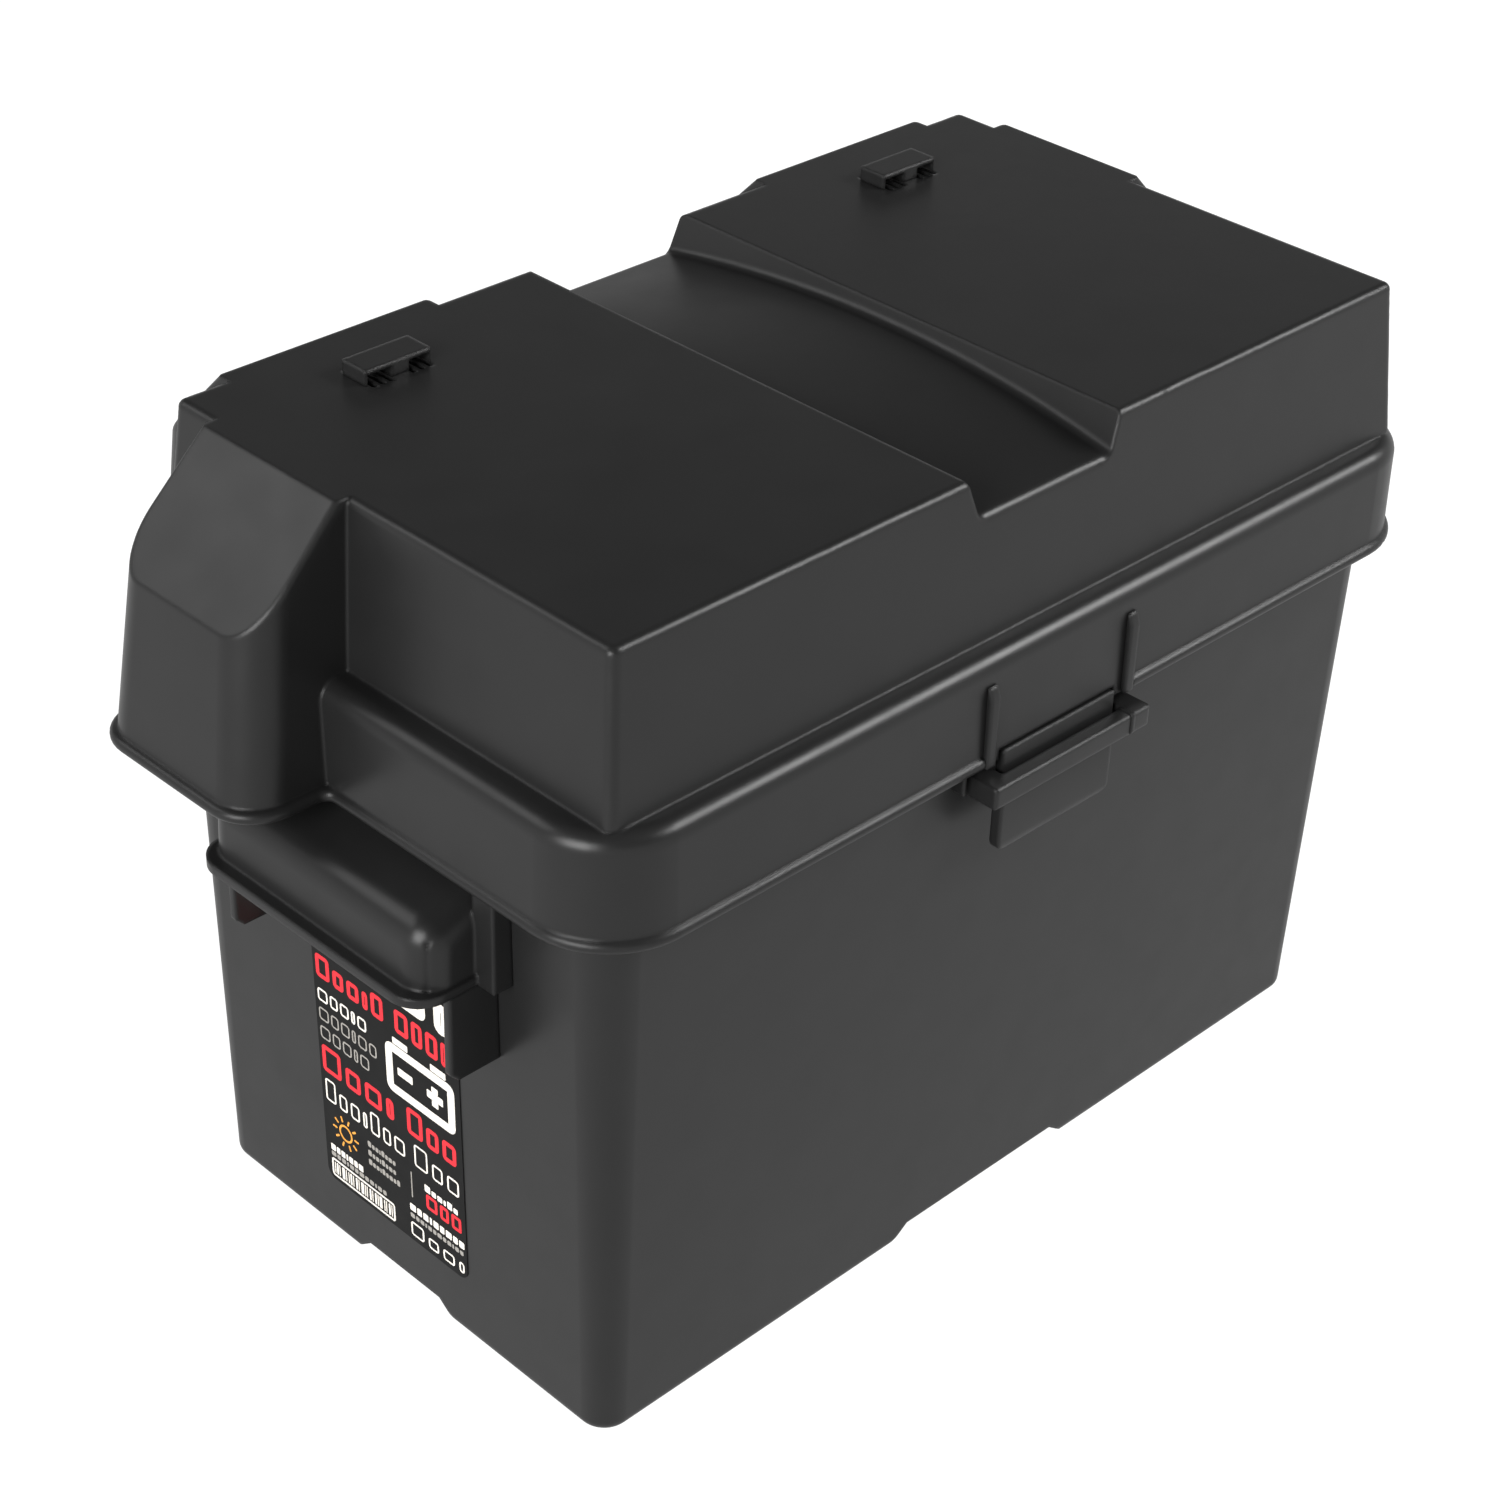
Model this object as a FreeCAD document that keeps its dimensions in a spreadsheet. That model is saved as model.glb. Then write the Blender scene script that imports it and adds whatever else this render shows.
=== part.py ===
"""Battery box for one group 27 battery, built in millimetres as an assembly of named sub-parts.

X runs along the box, Y across it with -Y the front, and Z up. The origin is on the floor, below the
middle of the box's outer limits. Sub-parts are modelled about the tub's own middle and then moved
back by frame_shift, because the two rear cable hoods reach further out than the front latch.
"""

import FreeCAD
import Part
import Sketcher
import math
import os
import re

SIZES = [
    ("frame_shift", 11.7, "distance from the tub's middle to the middle of the outer limits"),
    ("wall", 3.0, "moulded wall thickness"),
    ("wall_lean", 0.0197, "outward lean of the tub's walls, mm per mm of height"),
    ("tub_half_length", 172.5, "tub, half length at the floor"),
    ("tub_half_width", 94.75, "tub, half width at the floor"),
    ("tub_height", 227.5, "tub, height of the rim"),
    ("tub_corner", 9.5, "tub, radius of the upright corners at the floor"),
    ("tub_foot_round", 4.0, "tub, radius round the foot"),
    ("tub_floor", 10.0, "tub, height of the inner floor over the channels"),
    ("tub_well_floor", 3.0, "tub, height of the inner floor inside the four feet"),
    ("rim_half_length", 180.5, "rim flange, half length"),
    ("rim_half_width", 102.0, "rim flange, half width"),
    ("rim_corner", 20.0, "rim flange, corner radius"),
    ("rim_depth", 5.5, "rim flange, depth"),
    ("channel_height", 7.0, "channels under the base, height"),
    ("cross_channel_base", 45.5, "channel across the width, half width at the floor"),
    ("cross_channel_top", 36.0, "channel across the width, half width at its top"),
    ("long_channel_base", 26.2, "channel along the length, half width at the floor"),
    ("long_channel_top", 17.3, "channel along the length, half width at its top"),
    ("skirt_half_length", 186.6, "lid skirt, half length at the bottom"),
    ("skirt_half_width", 108.5, "lid skirt, half width at the bottom"),
    ("skirt_draft", 0.65, "lid skirt, draw-in from bottom to ledge"),
    ("skirt_corner", 28.0, "lid skirt, corner radius"),
    ("skirt_round", 6.0, "lid skirt, radius of the shoulder"),
    ("ledge", 231.2, "height of the lid's ledge"),
    ("bead_low", 193.7, "height of the bead's underside, the lid's lowest line"),
    ("bead_mid", 195.8, "height of the bead's middle"),
    ("bead_high", 197.9, "height of the bead's top"),
    ("bead_round", 2.0, "bead, edge radius"),
    ("bead_proud", 1.6, "bead, how far it stands out of the skirt"),
    ("hood_bead_proud", 2.2, "bead, how far it stands out of a hood"),
    ("lid_top", 284.5, "height of the lid's top"),
    ("top_half_length", 171.0, "lid top, half length"),
    ("top_half_width", 94.8, "lid top, half width"),
    ("top_draft", 4.85, "raised top, growth of each half size down to the ledge"),
    ("top_corner", 3.0, "raised top, corner radius"),
    ("top_round", 2.5, "raised top, edge radius"),
    ("hood_corner", 14.0, "cable hood, radius of the outer corners"),
    ("hood_round", 1.5, "cable hood, radius round the slope"),
    ("fold", 249.7, "height of the fold between a hood's slope and its wall"),
    ("end_hood_low_side", 9.5, "end hood, near side at the bottom"),
    ("end_hood_high_side", 81.5, "end hood, far side at the bottom"),
    ("rear_hood_low_side", 67.0, "rear hood, near side at the bottom"),
    ("rear_hood_high_side", 157.5, "rear hood, far side at the bottom"),
    ("hood_side_draft", 5.0, "cable hood, draw-in of each side up to the top"),
    ("end_hood_bottom", 215.9, "end hood, reach at the bottom"),
    ("end_hood_fold", 208.8, "end hood, reach at the fold"),
    ("end_slope_start", 174.8, "end hood, where the slope leaves the top"),
    ("rear_hood_bottom", 137.8, "rear hood, reach at the bottom"),
    ("rear_hood_fold", 132.6, "rear hood, reach at the fold"),
    ("rear_slope_start", 98.8, "rear hood, where the slope leaves the top"),
    ("strap_top", 34.0, "strap channel, half width at the lid's top"),
    ("strap_floor", 29.5, "strap channel, half width at the ends of its floor"),
    ("strap_depth", 12.5, "strap channel, depth at the ends of its floor"),
    ("crown_top", 279.5, "strap channel, height of the floor at mid-width"),
    ("crown_radius", 600.0, "strap channel, radius of the crowned floor"),
    ("crown_round", 3.0, "strap channel, radius where the floor meets the outer faces"),
    ("strap_corner_round", 3.0, "strap channel, radius between its floor and sides"),
    ("slot_width", 1.8, "vent slot, width"),
    ("slot_pitch", 3.2, "vent slot, spacing"),
    ("slot_front", 62.0, "vent slot, front end"),
    ("slot_rear", 77.3, "vent slot, rear end"),
    ("cap_place", 111.8, "vent cap, distance of its middle from the lid's middle"),
    ("cap_length", 25.3, "vent cap, length"),
    ("cap_front", 64.1, "vent cap, front face"),
    ("cap_rear", 75.3, "vent cap, rear face"),
    ("cap_height", 5.0, "vent cap, height"),
    ("cap_plate", 1.6, "vent cap, thickness of its plate"),
    ("cap_edge", 0.95, "vent cap, thickness of its end walls"),
    ("cap_leg_left", -2.55, "vent cap, left side of the middle leg"),
    ("cap_leg_right", 4.15, "vent cap, right side of the middle leg"),
    ("bar_half", 35.75, "catch bar, half length"),
    ("bar_arm", 27.6, "catch bar, inner side of its arms"),
    ("bar_front", 116.6, "catch bar, front face"),
    ("bar_inner", 111.3, "catch bar, back face of the bar"),
    ("bar_low", 183.2, "catch bar, underside"),
    ("bar_high", 190.6, "catch bar, top"),
    ("bar_round", 1.0, "catch bar, edge radius"),
    ("tongue_half", 25.8, "latch tongue, half width"),
    ("tongue_face", 109.8, "latch tongue, front face at the root and hinge line"),
    ("tongue_bulge", 110.9, "latch tongue, front face below the bar"),
    ("tongue_back", 106.8, "latch tongue, back face"),
    ("tongue_root", 197.0, "latch tongue, height of the hinge line"),
    ("tongue_tip", 160.0, "latch tongue, height of the tip"),
    ("tongue_corner", 4.0, "latch tongue, radius of the tip's corners"),
    ("notch_half", 26.6, "notch in the skirt over the tongue, half width"),
    ("notch_high", 197.4, "notch in the skirt over the tongue, top"),
    ("rib_near", 30.0, "latch rib, side nearer the tongue"),
    ("rib_far", 34.0, "latch rib, side further from the tongue"),
    ("rib_face", 110.5, "latch rib, front face"),
    ("rib_low", 194.0, "latch rib, bottom"),
    ("rib_high", 222.0, "latch rib, top"),
    ("locator_near", 38.5, "locating rib, side nearer the catch"),
    ("locator_far", 39.7, "locating rib, side further from the catch"),
    ("locator_face", 107.0, "locating rib, front edge"),
    ("locator_low", 185.5, "locating rib, bottom"),
    ("locator_high", 193.5, "locating rib, top"),
    ("grip_half", 51.3, "handle, half width"),
    ("grip_face", 201.8, "handle, reach at the lip"),
    ("grip_top_face", 200.9, "handle, reach where the roof starts"),
    ("grip_low", 158.2, "handle, underside of the lip"),
    ("grip_lip_top", 161.4, "handle, top of the lip"),
    ("grip_shoulder", 181.6, "handle, height of the roof's outer edge"),
    ("grip_high", 190.5, "handle, height of the roof at the wall"),
    ("grip_round", 10.0, "handle, edge radius"),
    ("lip_face", 206.3, "handle lip, reach"),
    ("lip_half", 52.3, "handle lip, half width"),
    ("lip_corner", 11.0, "handle lip, corner radius"),
    ("post_half", 59.3, "handle post, outer side"),
    ("post_face", 183.0, "handle post, reach"),
    ("post_high", 192.5, "handle post, top"),
    ("gusset_near", 49.6, "handle gusset, inner side"),
    ("gusset_far", 52.4, "handle gusset, outer side"),
    ("gusset_face", 193.8, "handle gusset, reach"),
    ("gusset_low", 127.5, "handle gusset, bottom"),
    ("gusset_cut", 3.0, "handle gusset, size of the cut lower corner"),
    ("label_front", -32.8, "label, front edge"),
    ("label_rear", 37.2, "label, rear edge"),
    ("label_low", 24.5, "label, bottom edge"),
    ("label_high", 140.0, "label, top edge"),
    ("label_corner", 4.0, "label, corner radius"),
    ("label_thickness", 0.3, "label, thickness"),
]

doc = FreeCAD.newDocument("battery_box")
sheet = doc.addObject("Spreadsheet::Sheet", "Sizes")
for row, (alias, size, meaning) in enumerate(SIZES, start=1):
    sheet.set("A%d" % row, alias)
    sheet.set("B%d" % row, str(size))
    sheet.set("C%d" % row, meaning)
    sheet.setAlias("B%d" % row, alias)
doc.recompute()


# ---------------------------------------------------------------- sketches and features

def formula(text):
    """The expression with every size name looked up in the sheet."""
    return re.sub(r"[a-z][a-z_]{2,}", lambda word: "Sizes." + word.group(0), str(text))


def value(text):
    """What an expression comes to now."""
    return float(sheet.evalExpression(formula(text)))


def span(side, near, far):
    """Two limits on one side of the middle, lower one first."""
    if side > 0:
        return near, far
    return "-(%s)" % far, "-(%s)" % near


def end_wall(height):
    """Distance of the tub's end wall from the middle at a height."""
    return "(tub_half_length + wall_lean * (%s))" % height


def side_wall(height):
    """Distance of the tub's long wall from the middle at a height."""
    return "(tub_half_width + wall_lean * (%s))" % height


def new_body(name, across="0", turned=False):
    """A body at its own place: moved along X by across, or turned half round about Z."""
    body = doc.addObject("PartDesign::Body", name)
    body.Label = name
    angle = 180 if turned else 0
    turn = FreeCAD.Rotation(FreeCAD.Vector(0, 0, 1), angle)
    body.Placement = FreeCAD.Placement(FreeCAD.Vector(0, 0, 0), turn)
    body.setExpression("Placement.Base.x", formula(across))
    body.setExpression("Placement.Base.y", formula("-frame_shift"))
    return body


def new_sketch(body, name, role, offset):
    """A sketch parallel to one of the body's own planes, at a distance along the row axis."""
    sketch = body.newObject("Sketcher::SketchObject", name)
    plane = next(item for item in body.Origin.OriginFeatures if item.Role == role)
    sketch.AttachmentSupport = (plane, [""])
    sketch.MapMode = "FlatFace"
    along = "-(%s)" % offset if role == "XZ_Plane" else str(offset)
    sketch.setExpression(".AttachmentOffset.Base.z", formula(along))
    return sketch


def rounded_outline(sketch, left, right, low, high, radius):
    """A rectangle with four equal corner arcs."""
    x0, x1, y0, y1, r = [value(text) for text in (left, right, low, high, radius)]
    sides = [
        ((x0 + r, y0), (x1 - r, y0), (x1 - r, y0 + r), -90),
        ((x1, y0 + r), (x1, y1 - r), (x1 - r, y1 - r), 0),
        ((x1 - r, y1), (x0 + r, y1), (x0 + r, y1 - r), 90),
        ((x0, y1 - r), (x0, y0 + r), (x0 + r, y0 + r), 180),
    ]
    for start, end, centre, angle in sides:
        first = FreeCAD.Vector(start[0], start[1], 0)
        last = FreeCAD.Vector(end[0], end[1], 0)
        sketch.addGeometry(Part.LineSegment(first, last))
        middle = FreeCAD.Vector(centre[0], centre[1], 0)
        circle = Part.Circle(middle, FreeCAD.Vector(0, 0, 1), r)
        low_angle = math.radians(angle)
        sketch.addGeometry(Part.ArcOfCircle(circle, low_angle, low_angle + math.pi / 2))
    for index in range(8):
        following = (index + 1) % 8
        sketch.addConstraint(Sketcher.Constraint("Tangent", index, 2, following, 1))
    for index in (0, 4):
        sketch.addConstraint(Sketcher.Constraint("Horizontal", index))
        sketch.addConstraint(Sketcher.Constraint("Vertical", index + 2))
    for index in (3, 5, 7):
        sketch.addConstraint(Sketcher.Constraint("Equal", 1, index))
    number = sketch.addConstraint(Sketcher.Constraint("Radius", 1, r))
    sketch.setExpression("Constraints[%d]" % number, formula(radius))
    for kind, index, text in (
        ("DistanceY", 0, low),
        ("DistanceX", 2, right),
        ("DistanceY", 4, high),
        ("DistanceX", 6, left),
    ):
        place_point(sketch, kind, index, text)


def place_point(sketch, kind, index, text):
    """Hold the first point of a line at a distance from the sketch's origin."""
    number = sketch.addConstraint(Sketcher.Constraint(kind, -1, 1, index, 1, value(text)))
    sketch.setExpression("Constraints[%d]" % number, formula(text))


def straight_outline(sketch, points):
    """A closed outline of straight lines through points held by the sheet."""
    places = [FreeCAD.Vector(value(x), value(y), 0) for x, y in points]
    for index, start in enumerate(places):
        sketch.addGeometry(Part.LineSegment(start, places[(index + 1) % len(places)]))
    for index, (x, y) in enumerate(points):
        following = (index + 1) % len(points)
        sketch.addConstraint(Sketcher.Constraint("Coincident", index, 2, following, 1))
        place_point(sketch, "DistanceX", index, x)
        place_point(sketch, "DistanceY", index, y)


def crowned_outline(sketch, half, low, high):
    """An outline with a flat bottom, upright sides and an arched top of the crown's radius."""
    reach = value(half)
    radius = value("crown_radius")
    centre = value(high) - radius
    tip = math.acos(reach / radius)
    edge = centre + radius * math.sin(tip)
    circle = Part.Circle(FreeCAD.Vector(0, centre, 0), FreeCAD.Vector(0, 0, 1), radius)
    corners = [
        FreeCAD.Vector(-reach, edge, 0),
        FreeCAD.Vector(-reach, value(low), 0),
        FreeCAD.Vector(reach, value(low), 0),
        FreeCAD.Vector(reach, edge, 0),
    ]
    for start, end in zip(corners, corners[1:]):
        sketch.addGeometry(Part.LineSegment(start, end))
    sketch.addGeometry(Part.ArcOfCircle(circle, tip, math.pi - tip))
    sketch.addConstraint(Sketcher.Constraint("Coincident", 0, 2, 1, 1))
    sketch.addConstraint(Sketcher.Constraint("Coincident", 1, 2, 2, 1))
    sketch.addConstraint(Sketcher.Constraint("Coincident", 2, 2, 3, 1))
    sketch.addConstraint(Sketcher.Constraint("Coincident", 3, 2, 0, 1))
    sketch.addConstraint(Sketcher.Constraint("Vertical", 0))
    sketch.addConstraint(Sketcher.Constraint("Vertical", 2))
    sketch.addConstraint(Sketcher.Constraint("Horizontal", 1))
    sketch.addConstraint(Sketcher.Constraint("PointOnObject", 3, 3, -2))
    number = sketch.addConstraint(Sketcher.Constraint("Radius", 3, radius))
    sketch.setExpression("Constraints[%d]" % number, formula("crown_radius"))
    place_point(sketch, "DistanceX", 0, "-(%s)" % half)
    place_point(sketch, "DistanceX", 2, half)
    place_point(sketch, "DistanceY", 1, low)
    number = sketch.addConstraint(Sketcher.Constraint("DistanceY", -1, 1, 3, 3, centre))
    sketch.setExpression("Constraints[%d]" % number, formula("%s - crown_radius" % high))


def extrude(body, name, kind, sketch, length):
    """A pad or pocket of a sketch, half its length to each side of it."""
    feature = body.newObject("PartDesign::" + kind, name)
    feature.Profile = sketch
    feature.SideType = "Symmetric"
    feature.setExpression("Length", formula(length))
    return feature


def slab(body, name, kind, outline, low, high):
    """A rounded rectangle raised or cut between two heights."""
    sketch = new_sketch(body, name + "_outline", "XY_Plane", "((%s) + (%s)) / 2" % (low, high))
    rounded_outline(sketch, *outline)
    return extrude(body, name, kind, sketch, "(%s) - (%s)" % (high, low))


def prism(body, name, kind, role, centre, points, length):
    """A straight-sided outline carried half its length to each side of a plane."""
    sketch = new_sketch(body, name + "_outline", role, centre)
    straight_outline(sketch, points)
    return extrude(body, name, kind, sketch, length)


def drafted(body, name, kind, sketch, length, lean):
    """A pad or pocket that rises from its sketch and grows by lean for each mm of height."""
    feature = body.newObject("PartDesign::" + kind, name)
    feature.Profile = sketch
    feature.Reversed = kind == "Pocket"
    feature.setExpression("Length", formula(length))
    feature.setExpression("TaperAngle", "atan(%s)" % formula(lean))
    return feature


def drafted_slab(body, name, kind, outline, low, high, lean):
    """A rounded rectangle raised or cut from low to high with leaning sides."""
    sketch = new_sketch(body, name + "_outline", "XY_Plane", low)
    rounded_outline(sketch, *outline)
    return drafted(body, name, kind, sketch, "(%s) - (%s)" % (high, low), lean)


def drafted_block(body, name, kind, limits, low, high, lean):
    """A square-cornered rectangle raised or cut from low to high with leaning sides."""
    left, right, front, rear = limits
    sketch = new_sketch(body, name + "_outline", "XY_Plane", low)
    straight_outline(sketch, [(left, front), (right, front), (right, rear), (left, rear)])
    return drafted(body, name, kind, sketch, "(%s) - (%s)" % (high, low), lean)


def dress(body, name, kind, base, radius, wanted):
    """A fillet or chamfer on every edge of the last feature whose middle passes the test."""
    doc.recompute()
    names = []
    for number, edge in enumerate(base.Shape.Edges, start=1):
        middle = edge.valueAt((edge.FirstParameter + edge.LastParameter) / 2)
        if wanted(middle, edge):
            names.append("Edge%d" % number)
    feature = body.newObject("PartDesign::" + kind, name)
    feature.Base = (base, names)
    size_name = "Size" if kind == "Chamfer" else "Radius"
    feature.setExpression(size_name, formula(radius))
    doc.recompute()
    return feature


def near(number, text):
    """Is a coordinate at the stated size, to a fiftieth of a millimetre?"""
    return abs(number - value(text)) < 0.02


def is_upright(edge):
    """Does a straight edge run mostly up and down?"""
    ends = edge.Vertexes
    if len(ends) < 2:
        return False
    run = ends[1].Point - ends[0].Point
    return abs(run.z) > 0.9 * run.Length


def centred(half_x, half_y, radius):
    """Limits of a rounded rectangle about the middle."""
    return ("-(%s)" % half_x, half_x, "-(%s)" % half_y, half_y, radius)


# ---------------------------------------------------------------- tub

def build_tub():
    """The open box: leaning walls, rim flange, four feet with two channels crossing between them."""
    body = new_body("tub")
    base = centred("tub_half_length", "tub_half_width", "tub_corner")
    outside = drafted_slab(body, "tub_outside", "Pad", base, "0", "tub_height", "wall_lean")
    dress(body, "foot_round", "Fillet", outside, "tub_foot_round",
          lambda middle, edge: abs(middle.z) < 0.01)
    slab(body, "rim_flange", "Pad", centred("rim_half_length", "rim_half_width", "rim_corner"),
         "tub_height - rim_depth", "tub_height")
    inside = centred(end_wall("tub_floor") + " - wall", side_wall("tub_floor") + " - wall",
                     "tub_corner - wall")
    drafted_slab(body, "battery_bay", "Pocket", inside, "tub_floor", "tub_height + 1", "wall_lean")
    for x_side in (-1, 1):
        for y_side in (-1, 1):
            left, right = span(x_side, "cross_channel_base + wall + 0.5",
                               "tub_half_length - wall - 1.5")
            low, high = span(y_side, "long_channel_base + wall + 0.5",
                             "tub_half_width - wall - 1.5")
            name = "well_%s_%s" % ("left" if x_side < 0 else "right",
                                   "front" if y_side < 0 else "rear")
            slab(body, name, "Pocket", (left, right, low, high, "tub_corner - wall"),
                 "tub_well_floor", "tub_floor + 1")
    trapezoids = (
        ("cross_channel", "XZ_Plane", "cross_channel_base", "cross_channel_top",
         "2 * tub_half_width + 10"),
        ("long_channel", "YZ_Plane", "long_channel_base", "long_channel_top",
         "2 * tub_half_length + 10"),
    )
    for name, role, base_half, top_half, length in trapezoids:
        corners = [
            ("-(%s)" % base_half, "-0.001"),
            (base_half, "-0.001"),
            (top_half, "channel_height"),
            ("-(%s)" % top_half, "channel_height"),
        ]
        prism(body, name, "Pocket", role, "0", corners, length)
    return body


def build_locating_rib(name, turned):
    """A thin upright rib on the tub that keeps the lid's skirt from shifting sideways."""
    body = new_body(name, turned=turned)
    corners = [
        ("-locator_face", "locator_low"),
        ("-" + side_wall("locator_low"), "locator_low"),
        ("-" + side_wall("locator_high"), "locator_high"),
        ("-locator_face", "locator_high"),
    ]
    prism(body, name + "_plate", "Pad", "YZ_Plane", "-(locator_near + locator_far) / 2", corners,
          "locator_far - locator_near")
    return body


def build_catch_bar(name, turned):
    """A bar on two arms, standing off the tub's wall, that the latch tongue drops behind."""
    body = new_body(name, turned=turned)
    corners = [
        ("-bar_front", "bar_low"),
        ("-" + side_wall("bar_low"), "bar_low"),
        ("-" + side_wall("bar_high"), "bar_high"),
        ("-bar_front", "bar_high"),
    ]
    block = prism(body, name + "_block", "Pad", "YZ_Plane", "0", corners, "2 * bar_half")
    dress(body, name + "_round", "Fillet", block, "bar_round",
          lambda middle, edge: near(middle.y, "-bar_front"))
    window = ("-bar_arm", "bar_arm", "-bar_inner", "-tub_half_width", "1")
    slab(body, name + "_window", "Pocket", window, "bar_low - 1", "bar_high + 1")
    return body


# ---------------------------------------------------------------- handles

def build_handle(name, turned):
    """A hollow grip open below, with a lip round its mouth and a short post at each end."""
    body = new_body(name, turned=turned)
    corners = [
        ("-" + end_wall("grip_low"), "grip_low"),
        ("-" + end_wall("grip_high"), "grip_high"),
        ("-grip_top_face", "grip_shoulder"),
        ("-grip_face", "grip_low"),
    ]
    shell = prism(body, name + "_shell", "Pad", "XZ_Plane", "0", corners, "2 * grip_half")

    def is_grip_edge(middle, edge):
        at_wall = middle.x > -value(end_wall("grip_high")) - 0.5
        at_mouth = near(middle.z, "grip_low")
        return not at_wall and not at_mouth

    dress(body, name + "_round", "Fillet", shell, "grip_round", is_grip_edge)
    lip_sketch = new_sketch(body, name + "_lip_outline", "XY_Plane", "(grip_low + grip_lip_top) / 2")
    lip_outline(lip_sketch)
    extrude(body, name + "_lip", "Pad", lip_sketch, "grip_lip_top - grip_low")
    for side, end in ((-1, "front"), (1, "rear")):
        post = [
            ("-" + end_wall("grip_low"), "grip_low"),
            ("-" + end_wall("post_high"), "post_high"),
            ("-post_face", "post_high - 1.5"),
            ("-post_face", "grip_low"),
        ]
        centre = "%d * (grip_half - 1 + post_half) / 2" % side
        prism(body, "%s_%s_post" % (name, end), "Pad", "XZ_Plane", centre, post,
              "post_half - grip_half + 1")
    hollow = [
        ("-(" + end_wall("grip_low") + " + wall)", "grip_low - 1"),
        ("-(" + end_wall("grip_high") + " + wall)", "grip_high - wall - 2"),
        ("-(grip_top_face - wall)", "grip_shoulder - wall - 1"),
        ("-(grip_face - wall)", "grip_low - 1"),
    ]
    prism(body, name + "_hollow", "Pocket", "XZ_Plane", "0", hollow, "2 * (grip_half - wall)")
    return body


def lip_outline(sketch):
    """The handle lip in plan: square against the wall and rounded at its two outer corners."""
    back = value("-" + end_wall("grip_lip_top"))
    face = value("-lip_face")
    half = value("lip_half")
    r = value("lip_corner")
    points = [
        FreeCAD.Vector(back, -half, 0),
        FreeCAD.Vector(back, half, 0),
        FreeCAD.Vector(face + r, half, 0),
        FreeCAD.Vector(face, half - r, 0),
        FreeCAD.Vector(face, r - half, 0),
        FreeCAD.Vector(face + r, -half, 0),
    ]
    upper = Part.Circle(FreeCAD.Vector(face + r, half - r, 0), FreeCAD.Vector(0, 0, 1), r)
    lower = Part.Circle(FreeCAD.Vector(face + r, r - half, 0), FreeCAD.Vector(0, 0, 1), r)
    sketch.addGeometry(Part.LineSegment(points[0], points[1]))
    sketch.addGeometry(Part.LineSegment(points[1], points[2]))
    sketch.addGeometry(Part.ArcOfCircle(upper, math.pi / 2, math.pi))
    sketch.addGeometry(Part.LineSegment(points[3], points[4]))
    sketch.addGeometry(Part.ArcOfCircle(lower, math.pi, 1.5 * math.pi))
    sketch.addGeometry(Part.LineSegment(points[5], points[0]))
    sketch.addConstraint(Sketcher.Constraint("Coincident", 0, 2, 1, 1))
    sketch.addConstraint(Sketcher.Constraint("Coincident", 5, 2, 0, 1))
    for first, second in ((1, 2), (2, 3), (3, 4), (4, 5)):
        sketch.addConstraint(Sketcher.Constraint("Tangent", first, 2, second, 1))
    sketch.addConstraint(Sketcher.Constraint("Vertical", 0))
    sketch.addConstraint(Sketcher.Constraint("Vertical", 3))
    sketch.addConstraint(Sketcher.Constraint("Horizontal", 1))
    sketch.addConstraint(Sketcher.Constraint("Horizontal", 5))
    sketch.addConstraint(Sketcher.Constraint("Equal", 2, 4))
    number = sketch.addConstraint(Sketcher.Constraint("Radius", 2, r))
    sketch.setExpression("Constraints[%d]" % number, formula("lip_corner"))
    place_point(sketch, "DistanceX", 0, "-" + end_wall("grip_lip_top"))
    place_point(sketch, "DistanceY", 0, "-lip_half")
    place_point(sketch, "DistanceY", 1, "lip_half")
    place_point(sketch, "DistanceX", 3, "-lip_face")


def build_gusset(name, side, turned):
    """A plate below one end of a handle that carries the lifting load down the wall."""
    body = new_body(name, turned=turned)
    corners = [
        ("-" + end_wall("gusset_low"), "gusset_low"),
        ("-" + end_wall("grip_low"), "grip_low"),
        ("-gusset_face", "grip_low"),
        ("-gusset_face", "gusset_low + gusset_cut"),
        ("-(gusset_face - gusset_cut)", "gusset_low"),
    ]
    centre = "%d * (gusset_near + gusset_far) / 2" % side
    prism(body, name + "_plate", "Pad", "XZ_Plane", centre, corners, "gusset_far - gusset_near")
    return body


# ---------------------------------------------------------------- lid

HOODS = (
    ("left_hood", "X", -1),
    ("right_hood", "X", 1),
    ("rear_left_hood", "Y", -1),
    ("rear_right_hood", "Y", 1),
)


def hood_limits(axis):
    """A hood's reach at the bottom and at the fold, its slope's start, its root and two sides."""
    if axis == "X":
        return ("end_hood_bottom", "end_hood_fold", "end_slope_start", "130",
                "end_hood_low_side", "end_hood_high_side")
    return ("rear_hood_bottom", "rear_hood_fold", "rear_slope_start", "60",
            "rear_hood_low_side", "rear_hood_high_side")


def place_hood(axis, side, out, across):
    """Plan limits of a hood from its limits outwards and its limits across."""
    if axis == "X":
        return span(side, *out) + tuple(across)
    return span(side, *across) + tuple(out)


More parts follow.
